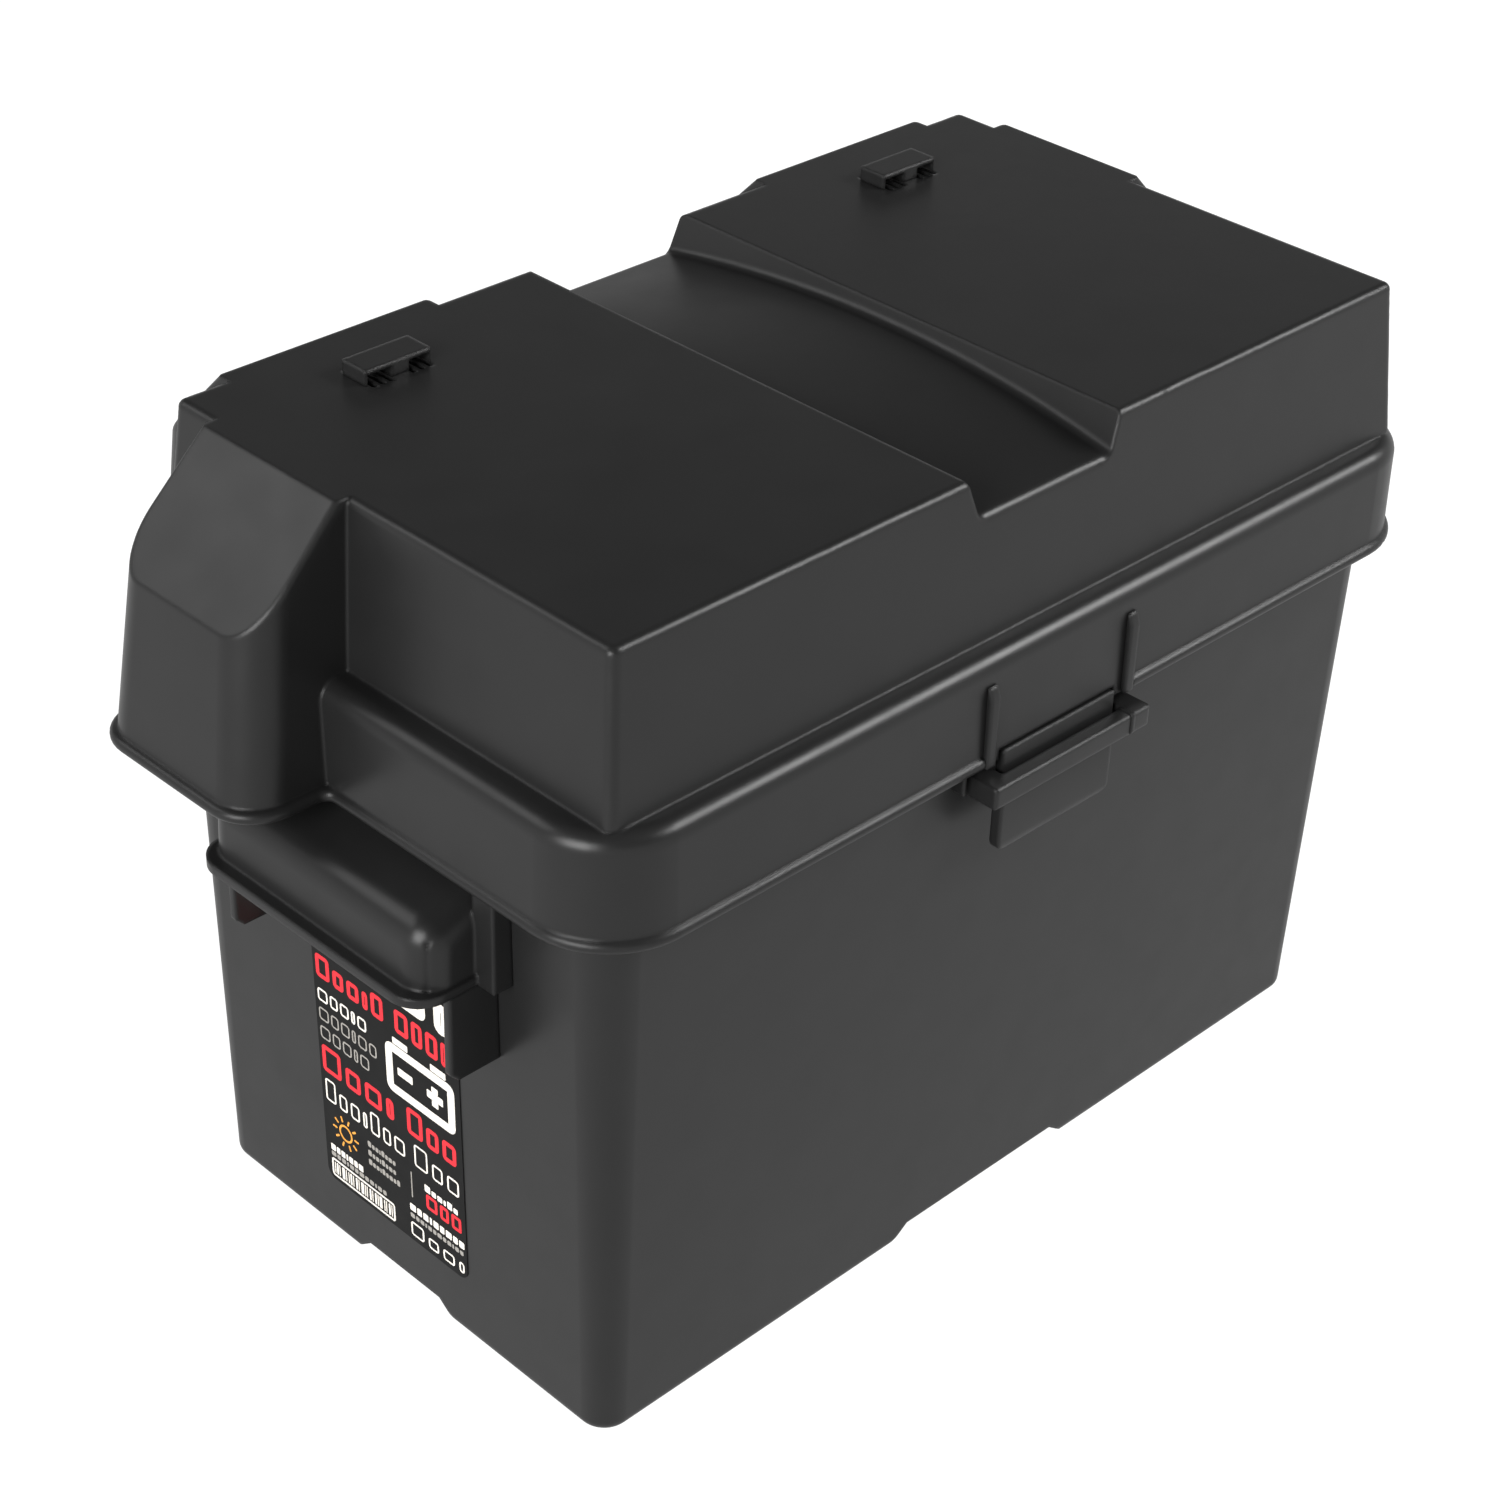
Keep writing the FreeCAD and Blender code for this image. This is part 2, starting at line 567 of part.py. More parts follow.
def build_hood_block(name, axis, side, inset, low):
    """One cable hood as a solid: leaning sides, a leaning wall and a slope up to the lid's top.

    The inset moves every face inwards, so the same shape serves as the space inside the hood.
    """
    bottom, fold, start, root, low_side, high_side = hood_limits(axis)
    body = new_tool(name)
    wall_lean_text = "((%s - %s) / (fold - bead_mid))" % (bottom, fold)
    profile = [
        (root, low),
        ("%s + %s * (bead_mid - (%s)) - %s" % (bottom, wall_lean_text, low, inset), low),
        ("%s - %s" % (fold, inset), "fold - 0.4 * %s" % inset),
        ("%s - 0.43 * %s" % (start, inset), "lid_top - %s" % inset),
        (root, "lid_top - %s" % inset),
    ]
    if axis == "X":
        role, other_role = "XZ_Plane", "YZ_Plane"
        centre = "(%s + %s) / 2" % (low_side, high_side)
        profile = [("%d * (%s)" % (side, out), height) for out, height in profile]
        other_centre = "%d * 180" % side
    else:
        role, other_role = "YZ_Plane", "XZ_Plane"
        centre = "%d * (%s + %s) / 2" % (side, low_side, high_side)
        other_centre = "100"
    prism(body, name + "_profile", "Pad", role, centre, profile, "110")
    lean = "hood_side_draft / (lid_top - bead_mid)"
    for word, edge, sign in (("low", low_side, 1), ("high", high_side, -1)):
        foot = "%s + %d * (%s + %s * (%s - 5 - bead_mid))" % (edge, sign, inset, lean, low)
        crest = "%s + %d * (%s + %s * (lid_top + 5 - bead_mid))" % (edge, sign, inset, lean)
        cut = [
            (foot, "%s - 5" % low),
            (crest, "lid_top + 5"),
            ("%s - %d * 40" % (edge, sign), "lid_top + 5"),
            ("%s - %d * 40" % (edge, sign), "%s - 5" % low),
        ]
        if axis == "Y":
            cut = [("%d * (%s)" % (side, across), height) for across, height in cut]
        last = prism(body, "%s_%s_side" % (name, word), "Pocket", other_role, other_centre, cut,
                     "160")

    def is_outer_corner(middle, edge):
        out = side * middle.x if axis == "X" else middle.y
        return is_upright(edge) and out > value("%s - 10" % fold)

    return body, dress(body, name + "_corners", "Fillet", last, "hood_corner - " + inset,
                       is_outer_corner)


def build_outer_hood(name, axis, side):
    """A hood's outside, with the edges round its slope broken."""
    body, last = build_hood_block(name, axis, side, "0", "bead_mid")
    bottom, fold, start, root, low_side, high_side = hood_limits(axis)

    def is_slope_edge(middle, edge):
        """Edges on the slope's plane, apart from the bend where it leaves the top."""
        out = side * middle.x if axis == "X" else middle.y
        gradient = value("(lid_top - fold) / (%s - %s)" % (fold, start))
        on_plane = abs(middle.z - value("lid_top") + gradient * (out - value(start))) < 0.02
        return on_plane and middle.z < value("lid_top") - 0.5

    dress(body, name + "_round", "Fillet", last, "hood_round", is_slope_edge)
    return body


def new_tool(name):
    """A body used only to add to or cut the lid; it keeps the lid's own place."""
    body = doc.addObject("PartDesign::Body", name)
    body.Label = name
    return body


def build_strap_cut():
    """The space of the strap channel: a trough whose floor is crowned along the strap's run."""
    body = new_tool("strap_cut")
    lean = "(strap_top - strap_floor) / strap_depth"
    corners = [
        ("-(strap_floor - %s * 4)" % lean, "lid_top - strap_depth - 4"),
        ("strap_floor - %s * 4" % lean, "lid_top - strap_depth - 4"),
        ("strap_top + %s * 6" % lean, "lid_top + 6"),
        ("-(strap_top + %s * 6)" % lean, "lid_top + 6"),
    ]
    prism(body, "trough", "Pad", "XZ_Plane", "0", corners, "2 * skirt_half_width")
    sketch = new_sketch(body, "crown_outline", "YZ_Plane", "0")
    crowned_outline(sketch, "skirt_half_width + 5", "200", "crown_top")
    extrude(body, "crown", "Pocket", sketch, "4 * strap_top")
    return body


def combine(body, name, kind, tools):
    """Add the tool bodies to the body, or cut them from it."""
    feature = body.newObject("PartDesign::Boolean", name)
    feature.setObjects(tools)
    feature.Type = kind
    return feature


def build_lid():
    """The deep lid: skirt, ledge, raised top, four cable hoods, strap channel and vent slots."""
    hoods = [build_outer_hood(name, axis, side) for name, axis, side in HOODS]
    spaces = [build_hood_block(name + "_space", axis, side, "wall", "bead_low - 1")[0]
              for name, axis, side in HOODS]
    strap_cut = build_strap_cut()
    body = new_body("lid")
    bead = centred("skirt_half_length + bead_proud", "skirt_half_width + bead_proud",
                   "skirt_corner + bead_proud")
    last = slab(body, "skirt_bead", "Pad", bead, "bead_low", "bead_high")
    for name, axis, side in HOODS:
        bottom, fold, start, root, low_side, high_side = hood_limits(axis)
        limits = place_hood(axis, side, (root, bottom + " + hood_bead_proud"),
                            (low_side + " - hood_bead_proud", high_side + " + hood_bead_proud"))
        last = slab(body, name + "_bead", "Pad", limits + ("hood_corner + hood_bead_proud",),
                    "bead_low", "bead_high")

    def is_inner_corner(middle, edge):
        near_end = abs(abs(middle.x) - value("skirt_half_length + bead_proud")) < 0.05
        near_rear = abs(middle.y - value("skirt_half_width + bead_proud")) < 0.05
        return is_upright(edge) and edge.Length < 5 and (near_end or near_rear)

    last = dress(body, "bead_corners", "Fillet", last, "3", is_inner_corner)
    dress(body, "bead_edges", "Fillet", last, "bead_round",
          lambda middle, edge: near(middle.z, "bead_low") or near(middle.z, "bead_high"))

    skirt = centred("skirt_half_length", "skirt_half_width", "skirt_corner")
    lean = "-skirt_draft / (ledge - bead_mid)"
    last = drafted_slab(body, "skirt", "Pad", skirt, "bead_mid", "ledge", lean)
    dress(body, "skirt_shoulder", "Fillet", last, "skirt_round",
          lambda middle, edge: near(middle.z, "ledge"))

    foot = centred("top_half_length + top_draft", "top_half_width + top_draft", "0")[:4]
    lean = "-top_draft / (lid_top - ledge)"
    last = drafted_block(body, "raised_top", "Pad", foot, "ledge", "lid_top", lean)
    last = dress(body, "top_corners", "Fillet", last, "top_corner",
                 lambda middle, edge: is_upright(edge) and middle.z > value("ledge") + 10)
    dress(body, "top_edges", "Fillet", last, "top_round",
          lambda middle, edge: near(middle.z, "lid_top"))

    combine(body, "hoods", "Fuse", hoods)
    last = combine(body, "strap_channel", "Cut", [strap_cut])
    last = dress(body, "crown_ends", "Fillet", last, "crown_round", is_crown_end)
    dress(body, "strap_corners", "Fillet", last, "strap_corner_round", is_strap_corner)
    hollow_lid(body, spaces)
    cut_slots(body)
    cut_latch_notches(body)
    return body


def is_crown_end(middle, edge):
    """The two edges where the crowned floor meets the raised top's long faces."""
    return abs(middle.x) < 5 and abs(middle.y) > 94 and 269 < middle.z < 274


def is_strap_corner(middle, edge):
    """The two long edges between the strap channel's crowned floor and its sides."""
    on_crown = abs(middle.z - value("crown_top")) < 0.3 and abs(middle.y) < 5
    return on_crown and 28 < abs(middle.x) < 34 and edge.Length > 100


def hollow_lid(body, spaces):
    """Empty the lid from below, leaving a wall of even thickness."""
    skirt = centred("skirt_half_length - wall", "skirt_half_width - wall", "skirt_corner - wall")
    lean = "-skirt_draft / (ledge - bead_mid)"
    drafted_slab(body, "skirt_space", "Pocket", skirt, "bead_low - 1", "tub_height + 0.3", lean)
    lean = "top_draft / (lid_top - ledge)"
    middle = "lid_top - strap_depth - 5.5"
    foot = centred("top_half_length + %s * (lid_top - tub_height) - wall" % lean,
                   "top_half_width + %s * (lid_top - tub_height) - wall" % lean, "0")[:4]
    drafted_block(body, "top_space", "Pocket", foot, "tub_height", middle, "-" + lean)
    growth = "%s * (lid_top - (%s))" % (lean, middle)
    for side, name in ((-1, "left_bay"), (1, "right_bay")):
        limits = span(side, "strap_top + wall - 1", "top_half_length + %s - wall" % growth)
        limits += ("-(top_half_width + %s - wall)" % growth, "top_half_width + %s - wall" % growth)
        drafted_block(body, name, "Pocket", limits, middle + " - 0.1", "lid_top - wall",
                      "-" + lean)
    sketch = new_sketch(body, "under_crown_outline", "YZ_Plane", "0")
    crowned_outline(sketch, "top_half_width - wall - 1", middle + " - 1", "crown_top - wall")
    extrude(body, "under_crown", "Pocket", sketch, "2 * (strap_floor - wall)")
    combine(body, "hood_spaces", "Cut", spaces)


def cut_slots(body):
    """Three slots under each of the two mouths of each vent cap."""
    mouths = (
        "(cap_edge - cap_length / 2 + cap_leg_left) / 2",
        "(cap_leg_right + cap_length / 2 - cap_edge) / 2",
    )
    for side, word in ((-1, "left"), (1, "right")):
        for mouth, centre in enumerate(mouths, start=1):
            for step in (-1, 0, 1):
                middle = "%d * cap_place + %s + %d * slot_pitch" % (side, centre, step)
                outline = (middle + " - slot_width / 2", middle + " + slot_width / 2",
                           "slot_front", "slot_rear", "slot_width / 2 - 0.05")
                name = "%s_slot_%d_%d" % (word, mouth, step + 2)
                slab(body, name, "Pocket", outline, "lid_top - wall - 1", "lid_top + 1")


def cut_latch_notches(body):
    """Clear the bead between the latch ribs and open the skirt above each tongue."""
    for side, word in ((-1, "front"), (1, "rear")):
        corners = [("%d * (skirt_half_width + %d)" % (side, out), height) for out, height in (
            (0, "bead_low - 1"), (5, "bead_low - 1"), (5, "bead_high + 0.5"), (0, "bead_high + 0.5"))]
        prism(body, word + "_bead_gap", "Pocket", "YZ_Plane", "0", corners, "2 * rib_far")
        low, high = span(side, "skirt_half_width - wall - 1", "skirt_half_width + 5")
        slab(body, word + "_notch", "Pocket", ("-notch_half", "notch_half", low, high, "0.8"),
             "bead_low - 1", "notch_high")


def build_tongue(name, turned):
    """A springy tongue below the skirt that passes behind the catch bar."""
    body = new_body(name, turned=turned)
    corners = [
        ("-tongue_face", "tongue_root"),
        ("-tongue_face", "bar_high - 1"),
        ("-tongue_bulge", "bar_high - 5"),
        ("-tongue_bulge", "tongue_tip + 2"),
        ("-(tongue_bulge - 1)", "tongue_tip"),
        ("-tongue_back", "tongue_tip"),
        ("-tongue_back", "tongue_root - 0.5"),
    ]
    plate = prism(body, name + "_plate", "Pad", "YZ_Plane", "0", corners, "2 * tongue_half")

    def is_tip_corner(middle, edge):
        run = edge.Vertexes[1].Point - edge.Vertexes[0].Point
        across = abs(run.y) > 0.9 * run.Length
        return across and near(middle.z, "tongue_tip")

    dress(body, name + "_corners", "Fillet", plate, "tongue_corner", is_tip_corner)
    return body


def build_latch_rib(name, side, turned):
    """An upright rib on the skirt beside a latch tongue."""
    body = new_body(name, turned=turned)
    lean = "skirt_draft / (ledge - bead_mid)"
    corners = [
        ("-rib_face", "rib_low"),
        ("-(skirt_half_width - %s * (rib_low - bead_mid))" % lean, "rib_low"),
        ("-(skirt_half_width - %s * (rib_high - bead_mid))" % lean, "rib_high"),
        ("-(rib_face - 1.6)", "rib_high"),
        ("-rib_face", "rib_high - 4"),
    ]
    centre = "%d * (rib_near + rib_far) / 2" % side
    prism(body, name + "_bar", "Pad", "YZ_Plane", centre, corners, "rib_far - rib_near")
    return body


def build_vent_cap(name, side):
    """A low roof over the vent slots, open to the front and the rear."""
    body = new_body(name, across="%d * cap_place" % side)
    block = ("-cap_length / 2", "cap_length / 2", "cap_front", "cap_rear", "0.6")
    slab(body, name + "_block", "Pad", block, "lid_top", "lid_top + cap_height")
    mouths = (
        ("cap_edge - cap_length / 2", "cap_leg_left"),
        ("cap_leg_right", "cap_length / 2 - cap_edge"),
    )
    for number, (left, right) in enumerate(mouths, start=1):
        corners = [
            (left, "lid_top - 1"),
            (right, "lid_top - 1"),
            (right, "lid_top + cap_height - cap_plate"),
            (left, "lid_top + cap_height - cap_plate"),
        ]
        prism(body, "%s_mouth_%d" % (name, number), "Pocket", "XZ_Plane",
              "(cap_front + cap_rear) / 2", corners, "cap_rear - cap_front + 4")
    return body


# ---------------------------------------------------------------- label

def build_label():
    """A thin adhesive label lying on the leaning left wall."""
    body = new_body("label")
    corners = [
        ("-" + end_wall("label_low"), "label_low"),
        ("-" + end_wall("label_high"), "label_high"),
        ("-(" + end_wall("label_high") + " + label_thickness)", "label_high"),
        ("-(" + end_wall("label_low") + " + label_thickness)", "label_low"),
    ]
    sheet_of_film = prism(body, "film", "Pad", "XZ_Plane", "(label_front + label_rear) / 2",
                          corners, "label_rear - label_front")
    dress(body, "film_corners", "Fillet", sheet_of_film, "label_corner",
          lambda middle, edge: edge.Length < 1)
    return body


bodies = [
    build_tub(),
    build_locating_rib("front_locating_rib", False),
    build_locating_rib("rear_locating_rib", True),
    build_catch_bar("front_catch_bar", False),
    build_catch_bar("rear_catch_bar", True),
    build_handle("left_handle", False),
    build_handle("right_handle", True),
    build_gusset("left_handle_front_gusset", -1, False),
    build_gusset("left_handle_rear_gusset", 1, False),
    build_gusset("right_handle_front_gusset", 1, True),
    build_gusset("right_handle_rear_gusset", -1, True),
    build_lid(),
    build_tongue("front_latch_tongue", False),
    build_tongue("rear_latch_tongue", True),
    build_latch_rib("front_latch_left_rib", -1, False),
    build_latch_rib("front_latch_right_rib", 1, False),
    build_latch_rib("rear_latch_left_rib", 1, True),
    build_latch_rib("rear_latch_right_rib", -1, True),
    build_vent_cap("left_vent_cap", -1),
    build_vent_cap("right_vent_cap", 1),
    build_label(),
]

doc.recompute()
faults = [item.Name for item in doc.Objects if {"Invalid", "Error"} & set(item.State)]
if faults:
    raise RuntimeError("features that failed: " + ", ".join(faults))
os.makedirs("parts", exist_ok=True)
for body in bodies:
    shape = body.Shape
    if shape.isNull() or not shape.isValid() or len(shape.Solids) != 1:
        raise RuntimeError(body.Label + " is not one valid solid")
    shape.exportStep("parts/%s.step" % body.Label)
    print(body.Label, round(shape.Volume), [round(number, 1) for number in (
        shape.BoundBox.XMin, shape.BoundBox.XMax, shape.BoundBox.YMin, shape.BoundBox.YMax,
        shape.BoundBox.ZMin, shape.BoundBox.ZMax)])
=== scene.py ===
"""The looks of a battery box: moulded black plastic, rounded small parts, a printed label and a stage."""

import math

import bmesh
import bpy
import numpy as np
from bpy.props import FloatProperty, FloatVectorProperty, IntProperty, PointerProperty
from mathutils import Matrix, Vector


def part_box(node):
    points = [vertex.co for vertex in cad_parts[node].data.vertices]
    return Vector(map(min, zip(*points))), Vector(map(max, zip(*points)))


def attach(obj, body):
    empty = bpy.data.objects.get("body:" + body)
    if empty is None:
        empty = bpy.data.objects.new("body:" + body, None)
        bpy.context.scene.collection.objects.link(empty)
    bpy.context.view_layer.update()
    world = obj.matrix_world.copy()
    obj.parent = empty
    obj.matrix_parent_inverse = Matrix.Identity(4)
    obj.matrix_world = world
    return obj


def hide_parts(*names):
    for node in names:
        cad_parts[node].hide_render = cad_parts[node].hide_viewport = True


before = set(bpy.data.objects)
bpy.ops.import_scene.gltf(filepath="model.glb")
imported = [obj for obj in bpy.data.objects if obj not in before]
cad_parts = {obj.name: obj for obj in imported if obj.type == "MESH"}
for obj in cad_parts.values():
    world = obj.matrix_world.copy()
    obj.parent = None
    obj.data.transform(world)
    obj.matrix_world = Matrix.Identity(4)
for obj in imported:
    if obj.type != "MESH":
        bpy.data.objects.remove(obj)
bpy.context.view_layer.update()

bl_info = {
    "name": "Battery Box Looks",
    "version": (1, 0, 0),
    "blender": (4, 5, 0),
    "location": "3D Viewport > Sidebar > Battery Box",
    "description": "Dresses the battery box with moulded plastic, softened edges and a printed label",
    "category": "Add Mesh",
}

MM = 0.001
# Edges sharper than this are rounded, and faces within this of one plane are made one.
SHARP_ANGLE = math.radians(35)
FLAT_ANGLE = math.radians(1)
# The underside of the print lies this far inside the film.
PRINT_SEAT = 0.02 * MM
# Where the camera stands, in metres, and its turn, rise and roll in degrees.
CAMERA_PLACE = (-0.64116, -0.61434, 0.70969)
CAMERA_ANGLES = (-45.80, 33.30, 2.13)
# Directions from the part towards each softbox.
LEFT_SOFTBOX = (-0.549, 0.583, 0.599)
RIGHT_SOFTBOX = (0.599, -0.548, 0.582)
KEY_SOFTBOX = (-0.92, -0.22, 0.33)
PART_MIDDLE = Vector((0, 0, 0.14))


# ---------------------------------------------------------------- colours and node helpers

def linear(code):
    """Linear red, green and blue of a six-digit sRGB hex code."""
    parts = np.array([int(code[i:i + 2], 16) for i in (1, 3, 5)]) / 255
    return tuple(np.where(parts <= 0.04045, parts / 12.92, ((parts + 0.055) / 1.055) ** 2.4))


def add_node(tree, kind, place, values=None, **settings):
    """One shader node with its settings and its unlinked input values."""
    made = tree.nodes.new(kind)
    made.location = place
    for key, setting in settings.items():
        setattr(made, key, setting)
    for key, number in (values or {}).items():
        made.inputs[key].default_value = number
    return made


def new_material(name):
    """An empty node material with its output, Principled shader and Object coordinates."""
    material = bpy.data.materials.new(name)
    material.use_nodes = True
    tree = material.node_tree
    tree.nodes.clear()
    output = add_node(tree, "ShaderNodeOutputMaterial", (900, 0))
    shader = add_node(tree, "ShaderNodeBsdfPrincipled", (600, 0))
    where = add_node(tree, "ShaderNodeTexCoord", (-900, 0))
    tree.links.new(shader.outputs["BSDF"], output.inputs["Surface"])
    return material, tree, shader, where.outputs["Object"]


def varied(tree, where, size, low, high, place):
    """A slow noise of the given patch size in metres, spread between two values."""
    noise = add_node(tree, "ShaderNodeTexNoise", place, {"Scale": 1 / size, "Detail": 3.0})
    spread = add_node(tree, "ShaderNodeMapRange", (place[0] + 220, place[1]),
                      {"From Min": 0.3, "From Max": 0.7, "To Min": low, "To Max": high})
    tree.links.new(where, noise.inputs["Vector"])
    tree.links.new(noise.outputs["Fac"], spread.inputs["Value"])
    return spread.outputs["Result"]


def tinted(tree, shader, where, colour, size, depth, place):
    """Base colour darkened and lightened by a slow noise, so that no face is one flat tone."""
    amount = varied(tree, where, size, 0.0, 1.0, place)
    mix = add_node(tree, "ShaderNodeMix", (place[0] + 460, place[1]), data_type="RGBA")
    mix.inputs["A"].default_value = tuple(c * (1 - depth) for c in colour) + (1.0,)
    mix.inputs["B"].default_value = tuple(min(c * (1 + depth), 1.0) for c in colour) + (1.0,)
    tree.links.new(amount, mix.inputs["Factor"])
    tree.links.new(mix.outputs["Result"], shader.inputs["Base Color"])


def moulded_polypropylene(finish):
    """Injection-moulded black polypropylene, from a finely spark-eroded mould.

    The eye reads it by a dark neutral tone, a broad satin sheen broken by a very fine grain,
    and bright thin lines where the mould's small edge radii turn towards the light.
    """
    material, tree, shader, where = new_material("black_polypropylene_moulded")
    tinted(tree, shader, where, finish.plastic_colour, 30 * MM, 0.05, (-600, 300))
    sheen = varied(tree, where, 14 * MM, finish.plastic_roughness - 0.03,
                   finish.plastic_roughness + 0.03, (-600, 0))
    tree.links.new(sheen, shader.inputs["Roughness"])
    shader.inputs["IOR"].default_value = 1.49
    # The pits of the grain hide part of the mirror-like reflection, so it is set under the usual half.
    shader.inputs["Specular IOR Level"].default_value = 0.33
    # The mould's texture is about 0.2 mm; it is drawn at the finish's grain size, a little coarser.
    grain = add_node(tree, "ShaderNodeTexNoise", (-600, -300),
                     {"Scale": 1 / finish.grain_size, "Detail": 2.0, "Roughness": 0.6})
    edges = add_node(tree, "ShaderNodeBevel", (-100, -500), {"Radius": finish.edge_radius}, samples=6)
    bump = add_node(tree, "ShaderNodeBump", (250, -300),
                    {"Strength": 1.0, "Distance": finish.grain_depth})
    tree.links.new(where, grain.inputs["Vector"])
    tree.links.new(grain.outputs["Fac"], bump.inputs["Height"])
    tree.links.new(edges.outputs["Normal"], bump.inputs["Normal"])
    tree.links.new(bump.outputs["Normal"], shader.inputs["Normal"])
    return material


def matte_label_film(finish):
    """Pressure-sensitive polypropylene film, printed black all over and matte laminated.

    It is darker and duller than the plastic round it, with faint slow ripples where it was rolled on.
    """
    material, tree, shader, where = new_material("label_film_matte_laminate")
    tinted(tree, shader, where, finish.film_colour, 12 * MM, 0.06, (-600, 300))
    sheen = varied(tree, where, 9 * MM, 0.46, 0.54, (-600, 0))
    tree.links.new(sheen, shader.inputs["Roughness"])
    shader.inputs["IOR"].default_value = 1.46
    shader.inputs["Specular IOR Level"].default_value = 0.12
    ripple = add_node(tree, "ShaderNodeTexNoise", (-600, -300), {"Scale": 1 / (6 * MM), "Detail": 1.0})
    bump = add_node(tree, "ShaderNodeBump", (250, -300), {"Strength": 1.0, "Distance": 0.00002})
    tree.links.new(where, ripple.inputs["Vector"])
    tree.links.new(ripple.outputs["Fac"], bump.inputs["Height"])
    tree.links.new(bump.outputs["Normal"], shader.inputs["Normal"])
    return material


def screen_ink(name, colour):
    """Screen-printed ink on film: an even, chalky coat with slight thin and thick patches."""
    material, tree, shader, where = new_material(name)
    tinted(tree, shader, where, colour, 2.5 * MM, 0.03, (-600, 300))
    sheen = varied(tree, where, 2.5 * MM, 0.5, 0.6, (-600, 0))
    tree.links.new(sheen, shader.inputs["Roughness"])
    shader.inputs["IOR"].default_value = 1.48
    shader.inputs["Specular IOR Level"].default_value = 0.2
    return material


def pale_floor(stage):
    """Matte white sweep lit from below, bright enough that the part's own shadow fades out."""
    material, tree, shader, where = new_material("pale_floor_matte_paint")
    tinted(tree, shader, where, (stage.floor_tone,) * 3, 0.6, 0.02, (-600, 300))
    shader.inputs["Roughness"].default_value = 0.9
    shader.inputs["Specular IOR Level"].default_value = 0.1
    shader.inputs["Emission Color"].default_value = (1.0, 1.0, 1.0, 1.0)
    # The floor shines less into the part than it looks to the eye, as a lit sweep far behind would.
    path = add_node(tree, "ShaderNodeLightPath", (-300, -300))
    glow = add_node(tree, "ShaderNodeMapRange", (0, -300),
                    {"To Min": stage.floor_shine, "To Max": stage.floor_glow})
    tree.links.new(path.outputs["Is Camera Ray"], glow.inputs["Value"])
    tree.links.new(glow.outputs["Result"], shader.inputs["Emission Strength"])
    return material


def plastic(context):
    """The moulded plastic that every black piece shares, built the first time that it is asked for."""
    made = bpy.data.materials.get("black_polypropylene_moulded")
    return made or moulded_polypropylene(context.scene.battery_box_finish)


def dress_node(node, material):
    """Puts a material in every slot of one of the frame's own pieces."""
    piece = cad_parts[node]
    for index in range(len(piece.data.materials)):
        piece.data.materials[index] = material
    if not piece.data.materials:
        piece.data.materials.append(material)


# ---------------------------------------------------------------- mesh helpers

def new_piece(name, points, faces, material):
    """A mesh object from lists of points and faces, turned outward and riding on the tub."""
    mesh = bpy.data.meshes.new(name)
    mesh.from_pydata(points, [], faces)
    work = bmesh.new()
    work.from_mesh(mesh)
    bmesh.ops.recalc_face_normals(work, faces=work.faces)
    work.to_mesh(mesh)
    work.free()
    mesh.materials.append(material)
    piece = bpy.data.objects.new(name, mesh)
    bpy.context.scene.collection.objects.link(piece)
    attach(piece, "tub")
    return piece


def softened(node, name, body, material, radius):
    """A copy of one frame piece, merged and cleared of its triangles, with its edges rounded.

    Corner points closer than a micron become one, faces that lie in one plane within a degree become
    one, and then each edge sharper than 35 degrees is rounded to the radius in three steps.
    """
    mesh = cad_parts[node].data.copy()
    mesh.name = name
    work = bmesh.new()
    work.from_mesh(mesh)
    bmesh.ops.remove_doubles(work, verts=work.verts, dist=1e-6)
    bmesh.ops.dissolve_limit(work, angle_limit=FLAT_ANGLE, verts=work.verts, edges=work.edges)
    bmesh.ops.recalc_face_normals(work, faces=work.faces)
    work.to_mesh(mesh)
    work.free()
    for attribute in ("custom_normal", "sharp_edge"):
        if attribute in mesh.attributes:
            mesh.attributes.remove(mesh.attributes[attribute])
    mesh.shade_smooth()
    mesh.materials.clear()
    mesh.materials.append(material)
    piece = bpy.data.objects.new(name, mesh)
    bpy.context.scene.collection.objects.link(piece)
    bevel = piece.modifiers.new("edge_radius", "BEVEL")
    bevel.width = radius
    bevel.segments = 3
    bevel.limit_method = "ANGLE"
    bevel.angle_limit = SHARP_ANGLE
    bevel.harden_normals = True
    bevel.use_clamp_overlap = True
    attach(piece, body)
    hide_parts(node)
    return piece


# ---------------------------------------------------------------- print on the label

def rounded_bars(limits, radius, steps=5):
    """Outlines of rectangles with round corners, one row of points for each row of limits.

    Each corner is a quarter circle of points about a centre one radius in from both sides. Limits
    are left, right, low and high, and a radius over half the smaller side is cut to that half.
    """
    left, right, low, high = np.asarray(limits, float).reshape(-1, 4).T[:, :, None]
    turn = np.linspace(0, math.pi / 2, steps)
    angles = np.concatenate([turn, turn + math.pi / 2, turn + math.pi, turn + 1.5 * math.pi])[None, :]
    to_right = np.repeat([1, 0, 0, 1], steps)[None, :]
    to_top = np.repeat([1, 1, 0, 0], steps)[None, :]
    round_off = np.minimum(radius, np.minimum(right - left, high - low) / 2 * 0.999)
    centre_x = np.where(to_right, right - round_off, left + round_off)
    centre_y = np.where(to_top, high - round_off, low + round_off)
    return np.stack([centre_x + round_off * np.cos(angles), centre_y + round_off * np.sin(angles)], -1)


def turned(outlines, middle, angles):
    """Outlines turned about a point, each by its own angle in radians."""
    cos, sin = np.cos(angles)[:, None], np.sin(angles)[:, None]
    x, y = outlines[..., 0] - middle[0], outlines[..., 1] - middle[1]
    return np.stack([middle[0] + x * cos - y * sin, middle[1] + x * sin + y * cos], -1)


